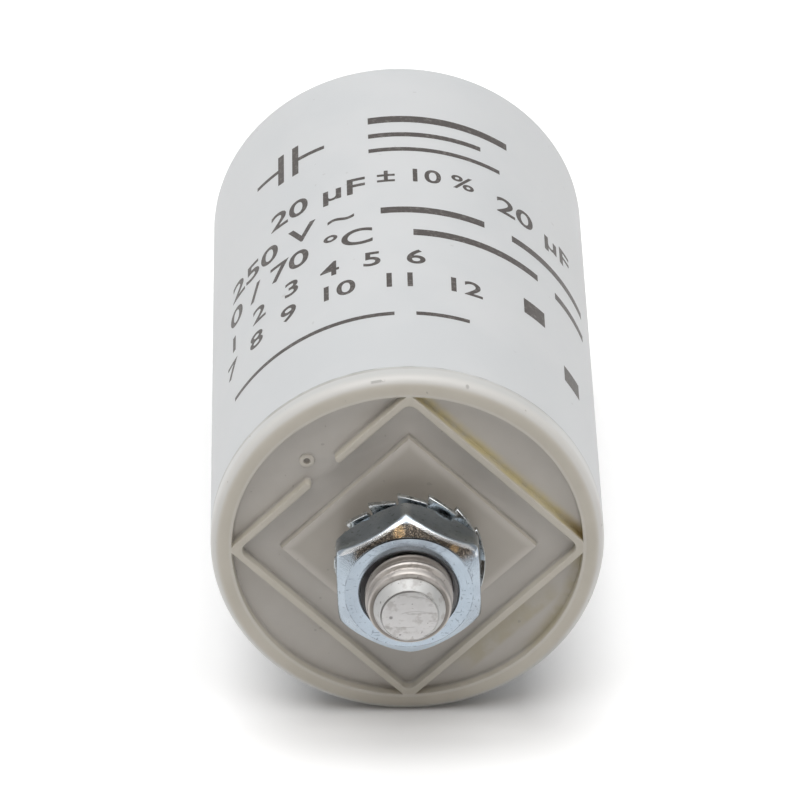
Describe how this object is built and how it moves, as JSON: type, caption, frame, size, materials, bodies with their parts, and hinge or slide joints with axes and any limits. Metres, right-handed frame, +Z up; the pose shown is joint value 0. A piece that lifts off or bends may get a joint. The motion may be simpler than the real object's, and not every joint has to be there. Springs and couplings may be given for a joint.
{
  "type": "motor run capacitor",
  "caption": "Round plastic-cased film capacitor with a threaded mounting stud, lock washer and thin hex nut at its base and double blade terminals at the far end.",
  "frame": {"origin": "centre of the base rim plane, on the axis of the stud", "axes": "+Y runs along the can from the base to the terminals, so the stud points to -Y; +Z is up as the capacitor lies in the picture; +X is to the right seen from the stud end"},
  "size_m": [0.036, 0.0797, 0.036],
  "materials": {
    "can_plastic": "fine matte moulded plastic",
    "base_plastic": "smooth moulded plastic",
    "stud_aluminium": "turned, dull",
    "zinc_steel": "zinc plated",
    "tinned_brass": "tin plated",
    "film": "metallised film edge",
    "core_plastic": "extruded plastic",
    "sprayed_zinc": "sprayed metal",
    "copper": "tinned copper wire",
    "resin": "cast resin"
  },
  "bodies": {
    "root": {"can_body": "can_plastic", "base_cap": "base_plastic", "mounting_stud": "stud_aluminium", "lock_washer": "zinc_steel", "hex_nut": "zinc_steel", "terminal_left": "tinned_brass", "terminal_right": "tinned_brass", "rivet_left": "tinned_brass", "rivet_right": "tinned_brass", "film_winding": "film", "winding_core": "core_plastic", "spray_near": "sprayed_zinc", "spray_far": "sprayed_zinc", "lead_short": "copper", "lead_long": "copper", "potting_resin": "resin"}
  },
  "joints": []
}
